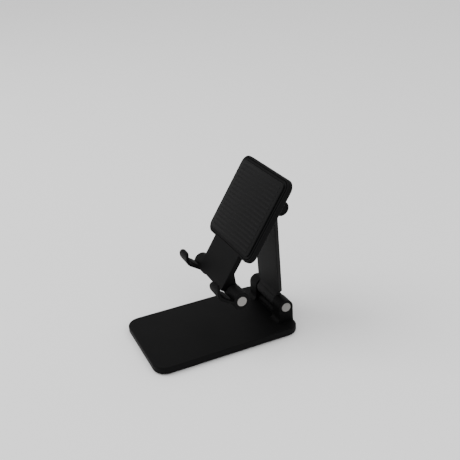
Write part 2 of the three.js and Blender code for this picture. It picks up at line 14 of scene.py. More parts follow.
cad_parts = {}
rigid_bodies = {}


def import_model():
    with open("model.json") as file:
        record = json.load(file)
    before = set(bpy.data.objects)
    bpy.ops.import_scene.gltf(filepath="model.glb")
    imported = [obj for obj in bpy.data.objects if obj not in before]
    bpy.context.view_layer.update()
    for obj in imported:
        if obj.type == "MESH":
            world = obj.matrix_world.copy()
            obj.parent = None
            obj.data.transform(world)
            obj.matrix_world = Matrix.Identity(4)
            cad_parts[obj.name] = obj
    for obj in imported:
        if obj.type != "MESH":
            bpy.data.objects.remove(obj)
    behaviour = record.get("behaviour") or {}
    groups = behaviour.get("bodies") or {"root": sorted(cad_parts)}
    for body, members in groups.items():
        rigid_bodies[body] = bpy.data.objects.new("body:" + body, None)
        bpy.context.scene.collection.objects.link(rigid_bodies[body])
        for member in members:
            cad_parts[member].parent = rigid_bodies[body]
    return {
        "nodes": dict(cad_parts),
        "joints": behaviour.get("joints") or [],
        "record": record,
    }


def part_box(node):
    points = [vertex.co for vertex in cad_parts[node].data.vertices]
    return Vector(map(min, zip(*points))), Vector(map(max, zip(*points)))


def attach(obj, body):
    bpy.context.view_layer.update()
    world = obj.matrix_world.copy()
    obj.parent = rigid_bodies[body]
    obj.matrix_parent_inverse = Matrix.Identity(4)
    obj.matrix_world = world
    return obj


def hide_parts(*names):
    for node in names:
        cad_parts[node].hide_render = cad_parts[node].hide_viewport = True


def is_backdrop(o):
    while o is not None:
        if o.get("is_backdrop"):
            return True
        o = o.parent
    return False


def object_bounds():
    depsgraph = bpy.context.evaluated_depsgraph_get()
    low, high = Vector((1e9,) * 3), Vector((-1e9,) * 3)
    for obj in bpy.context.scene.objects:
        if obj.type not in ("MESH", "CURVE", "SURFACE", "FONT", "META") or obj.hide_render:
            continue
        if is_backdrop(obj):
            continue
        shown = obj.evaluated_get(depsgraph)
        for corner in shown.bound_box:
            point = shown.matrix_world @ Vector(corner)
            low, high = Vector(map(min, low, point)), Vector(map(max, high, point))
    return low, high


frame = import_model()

MM = 0.001
SHARP_ANGLE = math.radians(32)
FLAT_ANGLE = math.radians(0.6)
MERGE = 0.002 * MM
WELD = 0.004 * MM
STRAY_SHARE = 0.6
EDGE_SEGMENTS = 3
CORNER_STEPS = 8
SMALLEST_CORNER = 0.1 * MM
NOISE_ROUGHNESS = 0.55
SCREWS = range(1, 5)
Colour = tuple[float, float, float]
log = logging.getLogger("phone_stand")


class Side(Enum):
    """The stand's left and right, as signs along X."""

    LEFT = -1
    RIGHT = 1

    @property
    def word(self) -> str:
        """The side as it stands in node names."""
        return self.name.lower()


class Body(str, Enum):
    """The rigid bodies of the frame that pieces ride on."""

    BASE = "base"
    ARM = "arm"
    HOLDER = "holder"
    HOOK_LEFT = "hook_assembly_left"
    HOOK_RIGHT = "hook_assembly_right"


# ---- Shader building ----------------------------------------------------------------------------


class Graph:
    """Builds one material's node tree."""

    def __init__(self, name: str) -> None:
        """Starts an empty material.

        Args:
            name: The material's name.
        """
        self.material = bpy.data.materials.new(name)
        self.material.use_nodes = True
        self.nodes = self.material.node_tree.nodes
        self.links = self.material.node_tree.links
        self.nodes.clear()

    def feed(self, socket: bpy.types.NodeSocket, value: object) -> None:
        """Links a socket or sets its value."""
        if isinstance(value, Value):
            value = value.socket
        if isinstance(value, bpy.types.NodeSocket):
            self.links.new(value, socket)
        else:
            socket.default_value = value

    def node(self, kind: str, settings: dict | None = None, **inputs: object) -> bpy.types.Node:
        """Adds a node.

        Args:
            kind: The node's type.
            settings: Properties to set first.
            **inputs: Values or links by socket name, with _ for a space.

        Returns:
            The new node.
        """
        made = self.nodes.new(kind)
        for key, value in (settings or {}).items():
            setattr(made, key, value)
        for key, value in inputs.items():
            self.feed(made.inputs[key.replace("_", " ")], value)
        return made

    def maths(self, operation: str, *terms: object) -> "Value":
        """A Math node on values or numbers."""
        made = self.nodes.new("ShaderNodeMath")
        made.operation = operation
        for socket, term in zip(made.inputs, terms):
            self.feed(socket, term)
        return Value(self, made.outputs[0])

    def coordinates(self, centre: Vector | None = None) -> bpy.types.NodeSocket:
        """Object coordinates, measured from a centre where one is given."""
        place = self.node("ShaderNodeTexCoord").outputs["Object"]
        if centre is None:
            return place
        moved = self.node("ShaderNodeMapping", Vector=place, Location=-centre)
        return moved.outputs["Vector"]

    def noise(self, fractal: "Fractal", stretch: Vector | None = None) -> "Value":
        """Fractal noise over the piece.

        Args:
            fractal: The noise's scale.
            stretch: Scale of each axis, for brushed surfaces.

        Returns:
            The noise's value, about 0.5 in the middle.
        """
        place = self.coordinates()
        if stretch is not None:
            place = self.node("ShaderNodeMapping", Vector=place, Scale=stretch).outputs["Vector"]
        made = self.node(
            "ShaderNodeTexNoise", Vector=place, Scale=fractal.per_metre, Detail=fractal.octaves,
            Roughness=NOISE_ROUGHNESS,
        )
        return Value(self, made.outputs[0])

    def tint(self, colour: Colour, ratio: float, share: "Value") -> bpy.types.NodeSocket:
        """Mixes a colour with a paler or darker one, its channels multiplied by a ratio."""
        other = [min(1.0, channel * ratio) for channel in colour]
        made = self.node("ShaderNodeMix", {"data_type": "RGBA"})
        self.feed(made.inputs[0], share)
        made.inputs[6].default_value = (*colour, 1)
        made.inputs[7].default_value = (*other, 1)
        return made.outputs[2]

    @staticmethod
    def around(middle: float, *swings: tuple["Value", float]) -> "Value":
        """A value that keeps to a middle, with a swing for each noise given with it."""
        total = None
        for noise, swing in swings:
            total = noise * swing if total is None else total + noise * swing
        return total + (middle - sum(swing for _, swing in swings) / 2)

    def bump(self, height: "Value", depth: float, below: object = None) -> bpy.types.NodeSocket:
        """A Bump node of a depth in metres, on top of another where one is given."""
        made = self.node("ShaderNodeBump", Height=height, Strength=1.0, Distance=depth)
        if below is not None:
            self.feed(made.inputs["Normal"], below)
        return made.outputs["Normal"]

    def finish(self, **sockets: object) -> bpy.types.Material:
        """Adds the shader and the output.

        Args:
            **sockets: The Principled BSDF's values or links, with _ for a space.

        Returns:
            The finished material.
        """
        shader = self.node("ShaderNodeBsdfPrincipled", None, **sockets)
        self.node("ShaderNodeOutputMaterial", None, Surface=shader.outputs[0])
        return self.material


@dataclass(frozen=True)
class Value:
    """A number that varies over a surface, with arithmetic."""

    graph: Graph
    socket: bpy.types.NodeSocket

    def __add__(self, other: object) -> "Value":
        """Sum."""
        return self.graph.maths("ADD", self, other)

    def __mul__(self, other: object) -> "Value":
        """Product."""
        return self.graph.maths("MULTIPLY", self, other)

    def __sub__(self, other: object) -> "Value":
        """Difference."""
        return self.graph.maths("SUBTRACT", self, other)

    def above(self, level: float, width: float) -> "Value":
        """0 below a level and 1 above it, with a soft step of a width."""
        made = self.graph.node(
            "ShaderNodeMapRange", {"interpolation_type": "SMOOTHSTEP"},
            Value=self, From_Min=level - width / 2, From_Max=level + width / 2,
        )
        return Value(self.graph, made.outputs[0])


# ---- Finishes -----------------------------------------------------------------------------------


@dataclass(frozen=True)
class Fractal:
    """The scale of a noise: its features per metre, and its octaves."""

    per_metre: float
    octaves: float


@dataclass(frozen=True)
class MouldedPlastic:
    """Black plastic from a fine spark-eroded mould, with faint handling marks."""

    name: str
    colour: Colour
    roughness: float = 0.58
    specular: float = 0.06
    grain: Fractal = Fractal(2600, 3)
    grain_depth: float = 0.04 * MM
    grain_tint: float = 0.25
    grain_swing: float = 0.08
    cloud: Fractal = Fractal(42, 4)
    cloud_tint: float = 0.35
    cloud_swing: float = 0.1
    marks: Fractal = Fractal(120, 6)
    mark_level: float = 0.66
    mark_blur: float = 0.2
    mark_polish: float = 0.03
    paler: float = 1.5

    def material(self) -> bpy.types.Material:
        """The plastic's material."""
        graph = Graph(self.name)
        grain = graph.noise(self.grain)
        cloud = graph.noise(self.cloud)
        marks = graph.noise(self.marks).above(self.mark_level, self.mark_blur)
        share = cloud * self.cloud_tint + grain * self.grain_tint
        rough = graph.around(self.roughness, (cloud, self.cloud_swing), (grain, self.grain_swing))
        return graph.finish(
            Base_Color=graph.tint(self.colour, self.paler, share),
            Roughness=rough - marks * self.mark_polish,
            Normal=graph.bump(grain, self.grain_depth),
            Specular_IOR_Level=self.specular,
        )


@dataclass(frozen=True)
class SatinPaint:
    """Satin black paint with a slight orange peel and a few fine dust nibs."""

    name: str
    colour: Colour
    roughness: float = 0.62
    specular: float = 0.07
    peel: Fractal = Fractal(620, 2)
    peel_depth: float = 0.05 * MM
    cloud: Fractal = Fractal(30, 3)
    cloud_swing: float = 0.12
    nibs: Fractal = Fractal(2400, 1)
    nib_level: float = 0.74
    nib_blur: float = 0.05
    nib_depth: float = 0.03 * MM
    nib_roughness: float = 0.1
    paler: float = 1.35

    def material(self) -> bpy.types.Material:
        """The paint's material."""
        graph = Graph(self.name)
        peel = graph.noise(self.peel)
        cloud = graph.noise(self.cloud)
        nibs = graph.noise(self.nibs).above(self.nib_level, self.nib_blur)
        rough = graph.around(self.roughness, (cloud, self.cloud_swing))
        return graph.finish(
            Base_Color=graph.tint(self.colour, self.paler, cloud),
            Roughness=rough + nibs * self.nib_roughness,
            Normal=graph.bump(nibs, self.nib_depth, graph.bump(peel, self.peel_depth)),
            Specular_IOR_Level=self.specular,
        )


@dataclass(frozen=True)
class Silicone:
    """Matt silicone rubber with a soft bloom and specks of lint."""

    name: str
    colour: Colour
    roughness: float = 0.8
    specular: float = 0.08
    sheen: float = 0.04
    skin: Fractal = Fractal(1500, 2)
    skin_depth: float = 0.03 * MM
    bloom: Fractal = Fractal(55, 4)
    bloom_tint: float = 0.4
    bloom_swing: float = 0.1
    lint: Fractal = Fractal(1700, 2)
    lint_level: float = 0.73
    lint_blur: float = 0.03
    lint_tint: float = 0.6
    paler: float = 2.2

    def material(self) -> bpy.types.Material:
        """The rubber's material."""
        graph = Graph(self.name)
        skin = graph.noise(self.skin)
        bloom = graph.noise(self.bloom)
        lint = graph.noise(self.lint).above(self.lint_level, self.lint_blur)
        share = bloom * self.bloom_tint + lint * self.lint_tint
        return graph.finish(
            Base_Color=graph.tint(self.colour, self.paler, share),
            Roughness=graph.around(self.roughness, (bloom, self.bloom_swing)),
            Normal=graph.bump(skin, self.skin_depth),
            Specular_IOR_Level=self.specular,
            Sheen_Weight=self.sheen,
        )


@dataclass(frozen=True)
class TurnedMetal:
    """Metal turned about an axis along X, with fine concentric tool marks."""

    name: str
    colour: Colour
    centre: Vector
    roughness: float = 0.4
    metallic: float = 0.85
    pitch: float = 0.16 * MM
    mark_depth: float = 0.006 * MM
    smudge: Fractal = Fractal(500, 4)
    smudge_swing: float = 0.16
    paler: float = 1.18

    def material(self) -> bpy.types.Material:
        """The metal's material."""
        graph = Graph(self.name)
        place = graph.node("ShaderNodeSeparateXYZ", Vector=graph.coordinates(self.centre))
        across = Value(graph, place.outputs["Y"])
        upward = Value(graph, place.outputs["Z"])
        radius = graph.maths("SQRT", across * across + upward * upward)
        tool = graph.maths("SINE", radius * (2 * math.pi / self.pitch))
        smudge = graph.noise(self.smudge)
        return graph.finish(
            Base_Color=graph.tint(self.colour, self.paler, smudge),
            Roughness=graph.around(self.roughness, (smudge, self.smudge_swing)),
            Metallic=self.metallic,
            Normal=graph.bump(tool, self.mark_depth),
        )


@dataclass(frozen=True)
class BrushedSteel:
    """Bare steel with marks that run along one axis."""

    name: str
    colour: Colour
    stretch: Vector = field(default_factory=lambda: Vector((0.06, 1, 1)))
    roughness: float = 0.38
    brush: Fractal = Fractal(2600, 3)
    brush_depth: float = 0.01 * MM
    brush_tint: float = 0.3
    brush_swing: float = 0.2
    stain: Fractal = Fractal(90, 4)
    stain_tint: float = 0.6
    stain_swing: float = 0.1
    darker: float = 0.7

    def material(self) -> bpy.types.Material:
        """The steel's material."""
        graph = Graph(self.name)
        brush = graph.noise(self.brush, self.stretch)
        stain = graph.noise(self.stain)
        share = stain * self.stain_tint + brush * self.brush_tint
        rough = graph.around(self.roughness, (brush, self.brush_swing), (stain, self.stain_swing))
        return graph.finish(
            Base_Color=graph.tint(self.colour, self.darker, share),
            Roughness=rough,
            Metallic=1.0,
            Normal=graph.bump(brush, self.brush_depth),
        )


@dataclass(frozen=True)
class Palette:
    """The stand's shared finishes."""

    shell: bpy.types.Material
    arm: bpy.types.Material
    rubber: bpy.types.Material
    steel: bpy.types.Material
    ballast: bpy.types.Material
    acetal: bpy.types.Material

    @staticmethod
    def mixed() -> "Palette":
        """Makes each shared finish once."""
        ballast = BrushedSteel("ballast_steel", (0.3, 0.29, 0.28), Vector((1, 0.05, 1)), 0.5)
        acetal = MouldedPlastic(
            "washer_acetal", (0.02, 0.02, 0.021), roughness=0.4, specular=0.5,
            grain=Fractal(900, 3), grain_depth=0.01 * MM,
        )
        return Palette(
            shell=MouldedPlastic("shell_plastic", (0.0024, 0.0024, 0.0025)).material(),
            arm=SatinPaint("arm_paint", (0.0115, 0.0115, 0.0117)).material(),
            rubber=Silicone("silicone_rubber", (0.004, 0.004, 0.0041)).material(),
            steel=BrushedSteel("hardware_steel", (0.5, 0.49, 0.48)).material(),
            ballast=ballast.material(),
            acetal=acetal.material(),
        )


# ---- Mesh building ------------------------------------------------------------------------------


class Workshop:
    """Makes meshes, places them and hands them to the frame."""

    @staticmethod
    def object_of(name: str, shape: bmesh.types.BMesh) -> bpy.types.Object:
        """Turns a bmesh into an object at the origin, with its faces outwards."""
        bmesh.ops.recalc_face_normals(shape, faces=shape.faces)
        mesh = bpy.data.meshes.new(name)
        shape.to_mesh(mesh)
        shape.free()
        made = bpy.data.objects.new(name, mesh)
        bpy.context.scene.collection.objects.link(made)
        return made

    @staticmethod
    def skin(rings: list[list[Vector]]) -> bmesh.types.BMesh:
        """A closed body through rings of equally many points, with flat ends.

        Args:
            rings: The rings in order.

        Returns:
            The closed shape.
        """
        shape = bmesh.new()
        rows = [[shape.verts.new(point) for point in ring] for ring in rings]
        for lower, upper in zip(rows, rows[1:]):
            count = len(lower)
            for i in range(count):
                j = (i + 1) % count
                shape.faces.new((lower[i], lower[j], upper[j], upper[i]))
        shape.faces.new(list(reversed(rows[0])))
        shape.faces.new(rows[-1])
        return shape

    @classmethod
    def turned(cls, name: str, points: list[tuple[float, float]], centre: Vector,
               sign: int, sides: int = 72) -> bpy.types.Object:
        """A turned piece about an axis along X.

        Args:
            name: The piece's name.
            points: (radius, distance along X) of each ring, in metres.
            centre: A point on the axis at distance 0.
            sign: 1 where distances run to +X and -1 where they run to -X.
            sides: Points in each ring.

        Returns:
            The piece.
        """
        rings = []
        for radius, along in points:
            turns = [2 * math.pi * i / sides for i in range(sides)]
            rings.append([
                centre + Vector((sign * along, radius * math.cos(turn), radius * math.sin(turn)))
                for turn in turns
            ])
        return cls.object_of(name, cls.skin(rings))

    @staticmethod
    def outline(low: Vector, high: Vector, corner: float, inset: float,
                height: float) -> list[Vector]:
        """A rounded rectangle in XY at a height, drawn in by an inset."""
        radius = max(corner - inset, SMALLEST_CORNER)
        places = [
            (high.x - inset - radius, low.y + inset + radius, -90),
            (high.x - inset - radius, high.y - inset - radius, 0),
            (low.x + inset + radius, high.y - inset - radius, 90),
            (low.x + inset + radius, low.y + inset + radius, 180),
        ]
        points = []
        for x, y, start in places:
            for step in range(CORNER_STEPS + 1):
                turn = math.radians(start + 90 * step / CORNER_STEPS)
                across, along = radius * math.cos(turn), radius * math.sin(turn)
                points.append(Vector((x + across, y + along, height)))
        return points

    @classmethod
    def copy_of(cls, node: str, name: str) -> bpy.types.Object:
        """A merged copy of a frame node, with flat areas as single faces."""
        shape = bmesh.new()
        shape.from_mesh(frame["nodes"][node].data)
        bmesh.ops.remove_doubles(shape, verts=shape.verts, dist=MERGE)
        bmesh.ops.dissolve_limit(
            shape, angle_limit=FLAT_ANGLE, verts=shape.verts, edges=shape.edges,
        )
        return cls.object_of(name, shape)

    @staticmethod
    def apply(made: bpy.types.Object) -> None:
        """Turns an object and its modifiers into a plain mesh."""
        bpy.context.view_layer.update()
        graph = bpy.context.evaluated_depsgraph_get()
        mesh = bpy.data.meshes.new_from_object(made.evaluated_get(graph), depsgraph=graph)
        made.modifiers.clear()
        made.data = mesh

    @classmethod
    def rounded_copy(cls, node: str, name: str, edge: float) -> bpy.types.Object:
        """A copy of a frame node with its sharp edges rounded.

        Args:
            node: The frame node.
            name: The piece's name.
            edge: The width of the rounding, in metres.

        Returns:
            The piece.
        """
        made = cls.copy_of(node, name)
        made.data.shade_smooth()
        bevel = made.modifiers.new("edges", "BEVEL")
        bevel.limit_method = "ANGLE"
        bevel.angle_limit = SHARP_ANGLE
        bevel.width = edge
        bevel.segments = EDGE_SEGMENTS
        bevel.use_clamp_overlap = False
        cls.apply(made)
        cls.pull_back(made, node, STRAY_SHARE * edge)
        even = made.modifiers.new("flats", "WEIGHTED_NORMAL")
        even.mode = "FACE_AREA"
        even.weight = 100
        cls.apply(made)
        return made

    @staticmethod
    def pull_back(made: bpy.types.Object, node: str, reach: float) -> None:
        """Puts stray points of a rounded copy back on its frame node.

        Args:
            made: The copy.
            node: The frame node.
            reach: How far from the node a point may stand, in metres.
        """
        source = frame["nodes"][node].data
        tree = BVHTree.FromPolygons(
            [vertex.co for vertex in source.vertices], [face.vertices for face in source.polygons],
        )
        low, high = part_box(node)
        shape = bmesh.new()
        shape.from_mesh(made.data)
        for vertex in shape.verts:
            place, _, _, away = tree.find_nearest(vertex.co)
            point = place if away > reach else vertex.co
            vertex.co = [min(max(point[i], low[i]), high[i]) for i in range(3)]
        bmesh.ops.remove_doubles(shape, verts=shape.verts, dist=WELD)
        bmesh.ops.dissolve_degenerate(shape, edges=shape.edges, dist=WELD)
        shape.to_mesh(made.data)
        shape.free()
        made.data.update()

    @staticmethod
    def smooth(made: bpy.types.Object) -> None:
        """Shades a piece smooth, apart from its sharp edges."""
        made.data.shade_smooth()
        made.data.set_sharp_from_angle(angle=SHARP_ANGLE)

    @staticmethod
    def place(made: bpy.types.Object, matrix: Matrix) -> None:
        """Moves a piece's own mesh and leaves its object at the origin."""
        made.data.transform(matrix)
        made.data.update()

    @staticmethod
    def hand_over(made: bpy.types.Object, body: Body, finish: bpy.types.Material,
                  slot: str, nodes: list[str]) -> None:
        """Gives a piece its finish and its place in the frame.

        Args:
            made: The piece.
            body: The body that it rides on.
            finish: Its material.
            slot: The record's material slot; not used.
            nodes: The frame nodes that it stands for.
        """
        made.data.materials.clear()
        made.data.materials.append(finish)
        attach(made, body.value)
        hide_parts(*nodes)
        log.info("%s rides on %s, %d faces", made.name, body.value, len(made.data.polygons))

    @staticmethod
    def dress(node: str, finish: bpy.types.Material) -> None:
        """Gives a frame node that stays its finish."""
        materials = frame["nodes"][node].data.materials
        materials.clear()
        materials.append(finish)
        log.info("%s is dressed", node)


# ---- Patterns -----------------------------------------------------------------------------------


class PatternTree:
    """A Geometry Nodes tree that adds a raised pattern to a pad."""

    def __init__(self, name: str, sizes: dict[str, float], counts: dict[str, int]) -> None:
        """Starts a tree with its named inputs.

        Args:
            name: The tree's name.
            sizes: Its lengths, in metres.
            counts: Its whole numbers.
        """
        self.tree = bpy.data.node_groups.new(name, "GeometryNodeTree")
        face = self.tree.interface
        face.new_socket("Geometry", in_out="INPUT", socket_type="NodeSocketGeometry")
        face.new_socket("Geometry", in_out="OUTPUT", socket_type="NodeSocketGeometry")
        self.values = {**sizes, **counts}
        kinds = dict.fromkeys(sizes, "Float") | dict.fromkeys(counts, "Int") | {"Finish": "Material"}
        self.ids = {}
        for key, kind in kinds.items():
            made = face.new_socket(key, in_out="INPUT", socket_type=f"NodeSocket{kind}")
            self.ids[key] = made.identifier
        self.entry = self.tree.nodes.new("NodeGroupInput")

    def node(self, kind: str, settings: dict | None = None, **inputs: object) -> bpy.types.Node:
        """Adds a node; an input is a number, a socket or the name of one of the tree's inputs."""
        made = self.tree.nodes.new(kind)
        for key, value in (settings or {}).items():
            setattr(made, key, value)
        for key, value in inputs.items():
            socket = made.inputs[key.replace("_", " ")]
            if isinstance(value, str):
                value = self.entry.outputs[value]
            if isinstance(value, bpy.types.NodeSocket):
                self.tree.links.new(value, socket)
            else:
                socket.default_value = value
        return made

    def vector(self, x: object = 0.0, y: object = 0.0, z: object = 0.0) -> bpy.types.NodeSocket:
        """A vector of numbers or inputs."""
        return self.node("ShaderNodeCombineXYZ", None, X=x, Y=y, Z=z).outputs[0]

    def times(self, name: str, factor: float) -> bpy.types.NodeSocket:
        """One of the tree's inputs, multiplied by a number."""
        made = self.node("ShaderNodeMath", {"operation": "MULTIPLY"})
        self.tree.links.new(self.entry.outputs[name], made.inputs[0])
        made.inputs[1].default_value = factor
        return made.outputs[0]

    def close(self, points: bpy.types.NodeSocket, unit: bpy.types.NodeSocket) -> None:
        """Puts the unit on the points, joins the pad and ends the tree."""
        placed = self.node("GeometryNodeInstanceOnPoints", None, Points=points, Instance=unit)
        joined = self.node("GeometryNodeJoinGeometry")
        self.tree.links.new(self.entry.outputs["Geometry"], joined.inputs[0])
        self.tree.links.new(placed.outputs[0], joined.inputs[0])
        real = self.node("GeometryNodeRealizeInstances", None, Geometry=joined.outputs[0])
        dressed = self.node(
            "GeometryNodeSetMaterial", None, Geometry=real.outputs[0], Material="Finish",
        )
        leave = self.tree.nodes.new("NodeGroupOutput")
        self.tree.links.new(dressed.outputs[0], leave.inputs[0])

    def run(self, made: bpy.types.Object, finish: bpy.types.Material) -> None:
        """Applies the tree to a pad and leaves a plain mesh."""
        modifier = made.modifiers.new("pattern", "NODES")
        modifier.node_group = self.tree
        for key, value in self.values.items():
            modifier[self.ids[key]] = value
        modifier[self.ids["Finish"]] = finish
        Workshop.apply(made)


@dataclass(frozen=True)
class Ribs:
    """Rounded ribs across a pad, one above the other."""

    length: float
    pitch: float
    count: int
    width: float
    height: float
    section_points: int = 14

    def add_to(self, made: bpy.types.Object, centre: Vector, finish: bpy.types.Material) -> None:
        """Adds the ribs about a centre on the pad's top face."""
        start = centre.y - self.pitch * (self.count - 1) / 2
        sizes = {
            "Length": self.length, "Pitch": self.pitch, "Width": self.width, "Height": self.height,
            "Start": start, "Middle": centre.x, "Level": centre.z,
        }
        tree = PatternTree(f"{made.name}_ribs", sizes, {"Count": self.count})
        line = tree.node(
            "GeometryNodeMeshLine", {"mode": "OFFSET"}, Count="Count",
            Start_Location=tree.vector("Middle", "Start", "Level"),
            Offset=tree.vector(0.0, "Pitch", 0.0),
        )
        run = tree.node(
            "GeometryNodeCurvePrimitiveLine", None,
            Start=tree.vector(tree.times("Length", -0.5)), End=tree.vector(tree.times("Length", 0.5)),
        )
        circle = tree.node(
            "GeometryNodeCurvePrimitiveCircle", None, Resolution=self.section_points, Radius=1.0,
        )
        flat = tree.node(
            "GeometryNodeTransform", None,
            Geometry=circle.outputs[0], Scale=tree.vector(tree.times("Width", 0.5), "Height", 1.0),
        )
        bar = tree.node(
            "GeometryNodeCurveToMesh", None,
            Curve=run.outputs[0], Profile_Curve=flat.outputs[0], Fill_Caps=True,
        )
        tree.close(line.outputs[0], bar.outputs[0])
        tree.run(made, finish)


@dataclass(frozen=True)
class Dots:
    """A field of low round dots under a pad."""

    across: float
    along: float
    columns: int
    rows: int
    radius: float
    height: float
    ball_divisions: int = 3

    def add_to(self, made: bpy.types.Object, level: float, finish: bpy.types.Material) -> None:
        """Adds the dots about the origin at a level."""
        sizes = {
            "Across": self.across, "Along": self.along, "Radius": self.radius,
            "Height": self.height, "Level": level,
        }
        counts = {"Columns": self.columns, "Rows": self.rows}
        tree = PatternTree(f"{made.name}_dots", sizes, counts)
        grid = tree.node(
            "GeometryNodeMeshGrid", None,
            Size_X="Across", Size_Y="Along", Vertices_X="Columns", Vertices_Y="Rows",
        )
        raised = tree.node(
            "GeometryNodeTransform", None,
            Geometry=grid.outputs[0], Translation=tree.vector(0.0, 0.0, "Level"),
        )
        ball = tree.node(
            "GeometryNodeMeshIcoSphere", None, Radius=1.0, Subdivisions=self.ball_divisions,
        )
        dot = tree.node(
            "GeometryNodeTransform", None,
            Geometry=ball.outputs[0], Scale=tree.vector("Radius", "Radius", "Height"),
        )
        tree.close(raised.outputs[0], dot.outputs[0])
        tree.run(made, finish)


# ---- Places taken from the frame ----------------------------------------------------------------


@dataclass(frozen=True)
class Places:
    """Axes and directions of the stand, read from the frame."""

    base_axis: Vector
    holder_axis: Vector
    lip_axis: Vector
    holder_turn: Matrix

    @staticmethod
    def read() -> "Places":
        """Reads the joints and the face that the phone leans on."""
        joints = {joint["name"]: Vector(joint["pos_m"]) for joint in frame["joints"]}
        mounts = {mount["name"]: mount for mount in frame["record"]["mounts"]}
        out = Vector(mounts["phone_back_face"]["axis"]).normalized()
        across = Vector((1, 0, 0))
        up = out.cross(across)
        turn = Matrix((across, up, out)).transposed().to_4x4()
        return Places(
            base_axis=joints["arm_tilt"],
            holder_axis=joints["holder_tilt"],
            lip_axis=joints["hook_fold_left"],
            holder_turn=turn,
        )

    def holder_matrix(self) -> Matrix:
        """From the holder's own directions, about its axis, to the stand."""
        return Matrix.Translation(self.holder_axis) @ self.holder_turn

    def in_holder(self, node: str) -> tuple[Vector, Vector]:
        """A node's lowest and highest corner along the holder's own directions."""
        back = self.holder_matrix().inverted()
        points = [back @ vertex.co for vertex in frame["nodes"][node].data.vertices]
        low = Vector([min(point[i] for point in points) for i in range(3)])
        high = Vector([max(point[i] for point in points) for i in range(3)])
        return low, high


# ---- The stand's sub-assemblies -----------------------------------------------------------------


@dataclass
class HingeCaps:
    """The caps at the two ends of a hinge: silver-grey metal, or a black moulding."""

    slot: str = "silver_cap"
    colour: Colour = (0.215, 0.208, 0.2)
    moulding: bpy.types.Material | None = None
    chamfer: float = 0.3 * MM
    dish: float = 0.12 * MM
    land: float = 0.5 * MM
    bore_share: float = 0.3
    round_share: float = 0.3

    def build(self, node: str, axis: Vector, side: Side, body: Body) -> None:
        """Makes one cap in the place of its node.

        Args:
            node: The frame node that it stands for.
            axis: A point on the hinge's axis.
            side: The end of the hinge.
            body: The body that it rides on.
        """
        low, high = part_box(node)
        radius = (high.z - low.z) / 2
        near, far = sorted((abs(low.x), abs(high.x)))
        centre = Vector((0, axis.y, axis.z))
        bore = self.bore_share * radius
        round_in = self.round_share * self.chamfer
        rim = radius - self.chamfer
        points = [
            (bore, near), (radius, near), (radius, far - self.chamfer),
            (radius - round_in, far - round_in), (rim, far), (rim - self.land, far),
            (rim - 1.4 * self.land, far - 0.6 * self.dish), (rim - 2 * self.land, far - self.dish),
            (bore, far - self.dish),
        ]
        made = Workshop.turned(f"{node}_turned", points, centre, side.value)
        Workshop.smooth(made)
        finish = self.moulding or TurnedMetal(f"{node}_metal", self.colour, centre).material()
        Workshop.hand_over(made, body, finish, self.slot, [node])


@dataclass
class HeadedPin:
    """A hinge pin with a chamfered head and a shallow drive socket."""

    chamfer: float = 0.35 * MM
    socket_radius: float = 1.3 * MM
    socket_depth: float = 0.7 * MM
    head: float = 1.4 * MM
    shank: float = 2.0 * MM
    socket_edge: float = 0.1 * MM
    socket_floor_share: float = 0.8
    sides: int = 60
    colour: Colour = (0.42, 0.415, 0.41)
    roughness: float = 0.3
    metallic: float = 1.0

    def build(self, node: str, axis: Vector, side: Side, body: Body) -> None:
        """Makes a hook's pin, head inwards, in the place of its node."""
        low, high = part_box(node)
        radius = (high.z - low.z) / 2
        near, far = sorted((abs(low.x), abs(high.x)))
        centre = Vector((0, axis.y, axis.z))
        socket, floor = self.socket_radius, near + self.socket_depth
        points = [
            (socket * self.socket_floor_share, floor), (socket, floor),
            (socket, near + self.socket_edge), (socket + self.socket_edge, near),
            (radius - self.chamfer, near), (radius, near + self.chamfer),
            (radius, near + self.head), (self.shank, near + self.head),
            (self.shank, far - self.chamfer), (self.shank - self.chamfer, far),
        ]
        made = Workshop.turned(f"{node}_turned", points, centre, side.value, self.sides)
        Workshop.smooth(made)
        metal = TurnedMetal(f"{node}_metal", self.colour, centre, self.roughness, self.metallic)
        Workshop.hand_over(made, body, metal.material(), "steel", [node])


